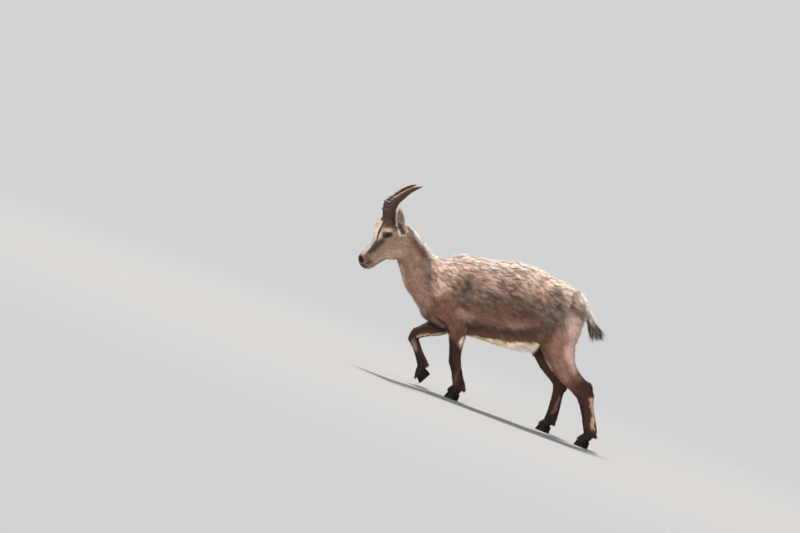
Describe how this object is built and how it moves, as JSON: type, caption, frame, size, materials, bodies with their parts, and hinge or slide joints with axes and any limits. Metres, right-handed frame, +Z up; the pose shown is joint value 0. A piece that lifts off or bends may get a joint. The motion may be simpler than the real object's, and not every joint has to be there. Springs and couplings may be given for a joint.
{
  "type": "alpine ibex figure",
  "caption": "Life-size alpine ibex with slender back-swept horns, striding with one forefoot bent, standing on its hooves as a still museum-style model.",
  "frame": {"origin": "on the floor, under the middle of the figure's box", "axes": "-X towards the muzzle, +Y to the animal's right, +Z up"},
  "size_m": [1.5066, 0.2594, 0.9947],
  "materials": {
    "coat": "short grey-brown hair",
    "dark_hair": "short dark brown hair",
    "horn": "ridged horn, half matt",
    "hoof": "worn hoof horn",
    "eye": "wet and glossy"
  },
  "bodies": {
    "root": {"ear_left": "coat", "ear_right": "coat", "eye_left": "eye", "eye_right": "eye", "fore_hoof_left_a": "hoof", "fore_hoof_left_b": "hoof", "fore_hoof_right_a": "hoof", "fore_hoof_right_b": "hoof", "foreleg_left_lower": "dark_hair", "foreleg_left_upper": "coat", "foreleg_right_lower": "dark_hair", "foreleg_right_upper": "coat", "head": "coat", "hind_hoof_left_a": "hoof", "hind_hoof_left_b": "hoof", "hind_hoof_right_a": "hoof", "hind_hoof_right_b": "hoof", "hindleg_left_lower": "dark_hair", "hindleg_left_upper": "coat", "hindleg_right_lower": "dark_hair", "hindleg_right_upper": "coat", "horn_left": "horn", "horn_right": "horn", "neck": "coat", "tail": "coat", "torso": "coat"}
  },
  "joints": []
}
